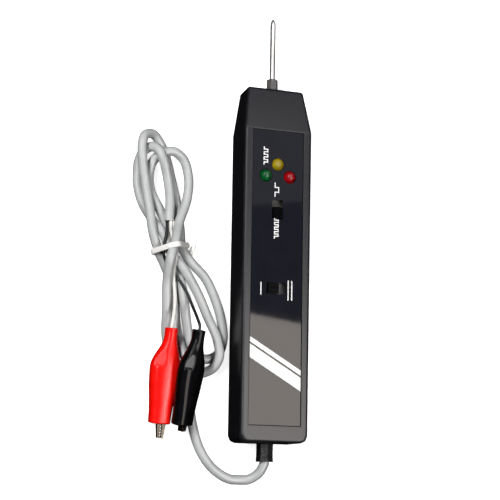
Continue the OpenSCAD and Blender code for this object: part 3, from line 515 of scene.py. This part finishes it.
blackCore = {
    "diameter": 1.2, "length": 60, "exit": (-41, 2.2, 5.8),
    "route": [(-41.7, 2.2, 5.2), (-42.1, -2.4, 7.1), (-43.1, -7.6, 7.8), (-43.1, -11, 7),
              (-41.4, -14.6, 5.8), (-37.7, -19, 5.4), (-33.8, -25.5, 7.6), (-31.6, -32, 10.4),
              (-30.9, -36.4, 14.4)]
             + [clipAxis("black", y) for y in coreEnds],
}
cordMesh = {"stepsPerSpan": 6, "roundness": 6}


# smooth curve through every point of a route
def layCord(name, cord, slotName):
    points = [Vector(point) * mm for point in cord["route"]]
    last = len(points) - 1
    spans = [(b - a).length for a, b in zip(points, points[1:])]
    slopes = [(b - a) / span for a, b, span in zip(points, points[1:], spans)]
    low, high = (Vector(end(axis) for axis in zip(*points)) for end in (min, max))
    data = bpy.data.curves.new(name, "CURVE")
    data.dimensions = "3D"
    data.resolution_u = cordMesh["stepsPerSpan"]
    data.bevel_depth = cord["diameter"] / 2 * mm
    data.bevel_resolution = cordMesh["roundness"]
    data.use_fill_caps = True
    spline = data.splines.new("BEZIER")
    spline.bezier_points.add(last)
    for i, (knot, point) in enumerate(zip(spline.bezier_points, points)):
        before, after = spans[max(i - 1, 0)], spans[min(i, last - 1)]
        a, b = slopes[max(i - 1, 0)], slopes[min(i, last - 1)]
        heading = (a * after + b * before) / (before + after)
        knot.co = point
        knot.handle_left_type = knot.handle_right_type = "FREE"
        # held inside the route's own box, so no bend swings out past it or into the floor
        for side, reach in (("handle_left", -before / 3), ("handle_right", after / 3)):
            handle = point + heading * reach
            setattr(knot, side, [min(max(c, a), b) for c, a, b in zip(handle, low, high)])
    return addPiece(name, data, slotName)


cable = layCord("supplyCable", supplyCable, "cable_jacket")
white = layCord("whiteCore", whiteCore, "white_insulation")
black = layCord("blackCore", blackCore, "black_insulation")
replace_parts(cable, "lead_cable")
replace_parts(white, "white_wire")
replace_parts(black, "black_wire")


# tie: a flat strip round the hank, then its flat tail with a cut end
tie = {
    "at": (-40, -8.5), "turn": 14, "slack": 0.15, "thickness": 1, "width": 2.2, "tailWidth": 1.9,
    # strands it holds: across, height and radius in mm
    "strands": [(-4.4, 3.1, 1.9), (5.3, 3.2, 1.9), (0.3, 10.6, 1.9), (-3.4, 7.6, 0.6)],
    "tail": [(-34.8, -7.6, 0.55), (-31.3, -11.2, 0.5), (-29.3, -5.6, 2)],
    "widthSquare": 0.55, "thickSquare": 0.8,  # round edges of its section
    "bendStart": 0.6, "bendEnd": 0.3,         # shares of the tail's two legs
    "sectionSides": 20, "loopSides": 72, "bendSteps": 12,
}


def hullAround(strands, gap):
    points = []
    for across, height, radius in strands:
        for k in range(tie["loopSides"]):
            angle = 2 * math.pi * k / tie["loopSides"]
            points.append((across + (radius + gap) * math.cos(angle),
                           height + (radius + gap) * math.sin(angle)))
    points.sort()

    def halfHull(ordered):
        kept = []
        for p in ordered:
            while len(kept) > 1 and ((kept[-1][0] - kept[-2][0]) * (p[1] - kept[-2][1])
                                     - (kept[-1][1] - kept[-2][1]) * (p[0] - kept[-2][0])) <= 0:
                kept.pop()
            kept.append(p)
        return kept[:-1]

    return halfHull(points) + halfHull(points[::-1])


def evenly(points, count, closed):
    line = points + points[:1] if closed else points
    lengths = [0]
    for a, b in zip(line, line[1:]):
        lengths.append(lengths[-1] + (b - a).length)
    spread, k = [], 0
    for i in range(count):
        goal = lengths[-1] * i / (count if closed else count - 1)
        while k < len(line) - 2 and lengths[k + 1] < goal:
            k += 1
        share = (goal - lengths[k]) / max(lengths[k + 1] - lengths[k], 1e-9)
        spread.append(line[k].lerp(line[k + 1], share))
    return spread


# rings of a flat strip with round edges; without a given direction across, it lies flat
def stripRings(path, width, closed, across=None):
    rings = []
    for i, point in enumerate(path):
        ahead = path[(i + 1) % len(path)] if closed else path[min(i + 1, len(path) - 1)]
        along = (ahead - path[i - 1 if closed else max(i - 1, 0)]).normalized()
        side = across or Vector((0, 0, 1)).cross(along).normalized()
        out = along.cross(side)
        ring = []
        for k in range(tie["sectionSides"]):
            c, s = (f(2 * math.pi * k / tie["sectionSides"]) for f in (math.cos, math.sin))
            wide = math.copysign(abs(c) ** tie["widthSquare"], c) * width / 2
            thick = math.copysign(abs(s) ** tie["thickSquare"], s) * tie["thickness"] / 2
            ring.append(point + (side * wide + out * thick) * mm)
        rings.append(ring)
    return rings


def makeTie():
    middle = Matrix.Translation(Vector((*tie["at"], 0)) * mm)
    turn = middle @ Matrix.Rotation(math.radians(tie["turn"]), 4, "Z")
    outline = hullAround(tie["strands"], tie["slack"] + tie["thickness"] / 2)
    loop = evenly([turn @ (Vector((x, 0, z)) * mm) for x, z in outline], tie["loopSides"], True)
    bm = bmesh.new()
    joinRings(bm, stripRings(loop, tie["width"], True, turn.to_3x3() @ Vector((0, 1, 0))), closed=True)
    start, bend, end = (Vector(point) * mm for point in tie["tail"])
    a, b = start.lerp(bend, tie["bendStart"]), bend.lerp(end, tie["bendEnd"])
    steps = [i / tie["bendSteps"] for i in range(tie["bendSteps"] + 1)]
    curve = [a.lerp(bend, t).lerp(bend.lerp(b, t), t) for t in steps]
    loops = joinRings(bm, stripRings([start] + curve + [end], tie["tailWidth"], False))
    bm.faces.new(loops[0])
    bm.faces.new(loops[-1])
    return addPiece("hankTie", meshFrom("hankTie", bm), "tie_plastic")


hankTie = makeTie()
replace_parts(hankTie, "cable_tie")

print("cords laid")


# label print: two slanting bands, and plain pulse signs and bars
filmLow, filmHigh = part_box("label_overlay")
labelPrint = {
    "ink": 0.03,              # mm, thickness of the print
    "bandStart": 82.9,        # mm below the film's top edge, at its left edge
    "bandDrop": 12.4,         # mm, from the left edge to the right
    "bands": [(0, 2.0), (2.85, 5.2)],   # start and height of each, mm
    "stroke": 0.42,           # mm
    "mitreLimit": 0.3,        # keeps a sharp corner from running out
    "pulseHeight": 1.5,       # mm
    # square waves: x, top and bottom in mm, number of pulses
    "pulses": [(-5.9, 33, 25.6, 3),     # beside the lenses
               (-1.1, 18.6, 12.8, 1),   # mode switch, needle end
               (-1.1, 4.4, -4, 4)],     # mode switch, cable end
    # bars: x, top and bottom; one at the left of the level switch, two at its right
    "bars": [(-6.3, -21.6, -26.6), (4.9, -20.4, -28.3), (6.4, -20.4, -28.3)],
}


def printOutline(bm, outline):
    z = filmHigh.z
    ink = labelPrint["ink"] * mm
    low = [bm.verts.new((x * mm, y * mm, z)) for x, y in outline]
    high = [bm.verts.new((x * mm, y * mm, z + ink)) for x, y in outline]
    bm.faces.new(high)
    for i in range(len(outline)):
        j = (i + 1) % len(outline)
        bm.faces.new((low[i], low[j], high[j], high[i]))
    bm.faces.new(low[::-1])


# band of even width along a line of points, mitred at its corners
def strokeOutline(points, width):
    points = [Vector(point) for point in points]
    left, right = [], []
    for i, point in enumerate(points):
        a = (point - points[i - 1]).normalized() if i else (points[1] - point).normalized()
        b = (points[i + 1] - point).normalized() if i < len(points) - 1 else a
        normal = Vector((-(a + b).y, (a + b).x)).normalized()
        reach = width / 2 / max(normal.dot(Vector((-a.y, a.x))), labelPrint["mitreLimit"])
        left.append(point + normal * reach)
        right.append(point - normal * reach)
    return left + right[::-1]


# square wave that reads down the label
def pulseTrain(x, top, bottom, pulses):
    height = labelPrint["pulseHeight"]
    points = [(x, top)]
    pitch = (top - bottom) / (2 * pulses + 1)
    for i in range(pulses):
        up, down = top - pitch * (2 * i + 1), top - pitch * (2 * i + 2)
        points += [(x, up), (x + height, up), (x + height, down), (x, down)]
    return points + [(x, bottom)]


def makeLabelPrint():
    left, right, top = filmLow.x / mm, filmHigh.x / mm, filmHigh.y / mm
    bm = bmesh.new()
    drop = labelPrint["bandDrop"]
    for start, height in labelPrint["bands"]:
        upper = top - labelPrint["bandStart"] - start
        printOutline(bm, [(left, upper), (left, upper - height),
                          (right, upper - drop - height), (right, upper - drop)])
    signs = [pulseTrain(*pulse) for pulse in labelPrint["pulses"]]
    signs += [[(x, upper), (x, lower)] for x, upper, lower in labelPrint["bars"]]
    for sign in signs:
        printOutline(bm, strokeOutline(sign, labelPrint["stroke"]))
    return addPiece("labelPrint", meshFrom("labelPrint", bm, smooth=False), "label_film", "label_ink")


makeLabelPrint()
print("label printed")


# floor, light and world
studio = {
    "floor": ("#f4f4f2", "#f8f8f7"), "floorGlow": 0.85,
    # sweep of the paper round the part, as (radius, height) in metres
    "sweep": [(0.02, 0), (0.4, 0), (1.2, 0), (1.5, 0.06), (1.75, 0.25), (1.9, 0.6), (1.95, 1.6)],
    "sweepSides": 64,
    # linear, overhead; it falls to black at the horizon, between these heights
    "sky": (0.15, 0.165, 0.26), "skyFade": (0.05, 0.7),
    # all face down: place, size across and along in metres, turn in degrees, radiance, tint
    # two strips throw the light and the shadows, and make no reflections
    "strips": {
        "stripLeft": ((-0.45, 0.2, 0.6), (0.12, 0.5), 0, 40, "#ffffff"),
        "stripRight": ((0.2, -0.34, 0.62), (0.12, 0.48), 0, 16, "#ffffff"),
    },
    # panels only show as reflections: in the label, the case's edges and the boots' facets
    "panels": {
        "panelRight": ((0.3, -0.25, 0.6), (0.44, 0.56), -8, 4.1, "#fff5ea"),
        "panelNeedle": ((0.1, 0.45, 0.6), (0.9, 0.32), 0, 2, "#fffdfa"),
        "panelLeft": ((-0.19, 0.26, 0.6), (0.38, 0.3), 0, 1.4, "#fffdfa"),
        "panelTop": ((0.2, 0.214, 0.6), (0.2, 0.12), 10, 0.3, "#ffffff"),
        "panelClip": ((0.07, -0.02, 0.6), (0.09, 0.12), 0, 11, "#ffffff"),
        "edgeLeft": ((-0.45, 0.2, 0.6), (0.18, 0.6), 0, 16, "#ffffff"),
        "edgeRight": ((0.2, -0.34, 0.62), (0.12, 0.48), 0, 20, "#ffffff"),
    },
}


def addLight(name, place, size, turn, radiance, tint):
    lamp = bpy.data.lights.new(name, "AREA")
    lamp.shape = "RECTANGLE"
    lamp.size, lamp.size_y = size
    lamp.color = linear(tint)[:3]
    lamp.energy = radiance * math.pi * size[0] * size[1]
    light = bpy.data.objects.new(name, lamp)
    light.location = place
    light.rotation_euler.z = math.radians(turn)
    scene.collection.objects.link(light)
    return light


def makeStudio():
    bm = bmesh.new()
    turns = [2 * math.pi * k / studio["sweepSides"] for k in range(studio["sweepSides"])]
    rings = [[(radius * math.cos(turn), radius * math.sin(turn), height) for turn in turns]
             for radius, height in studio["sweep"]]
    bm.faces.new(joinRings(bm, rings)[0])
    data = meshFrom("floor", bm)
    floor = bpy.data.objects.new("floor", data)
    scene.collection.objects.link(floor)
    # paper roll lit from behind: white to the camera, and it throws no light back at the part
    dark, light = studio["floor"]
    paper = makeFinish({"name": "paper_roll_white", "dark": dark, "light": light,
                        "toneSize": 60, "grainSize": 2, "grainDepth": 0.005, "roughness": (0.8, 0.9),
                        "shader": {"IOR": 1.45, "Emission Color": (1, 1, 1, 1),
                                   "Emission Strength": studio["floorGlow"]}})
    data.materials.append(paper)
    floor.visible_diffuse = floor.visible_glossy = floor.visible_shadow = False
    for name, settings in studio["strips"].items():
        addLight(name, *settings).visible_glossy = False
    for name, settings in studio["panels"].items():
        addLight(name, *settings).visible_diffuse = False
    world = bpy.data.worlds.new("studio")
    world.use_nodes = True
    tree = world.node_tree
    place = addNode(tree, "ShaderNodeTexCoord")
    parts = addNode(tree, "ShaderNodeSeparateXYZ", links={"Vector": place.outputs["Generated"]})
    sky = addNode(tree, "ShaderNodeValToRGB", links={"Fac": parts.outputs["Z"]})
    setStops(sky, zip(studio["skyFade"], ((0, 0, 0, 1), (*studio["sky"], 1))))
    tree.links.new(sky.outputs["Color"], tree.nodes["Background"].inputs["Color"])
    world.cycles_visibility.diffuse = False
    scene.world = world
    scene.view_settings.view_transform = "Standard"


makeStudio()
print("studio lit")
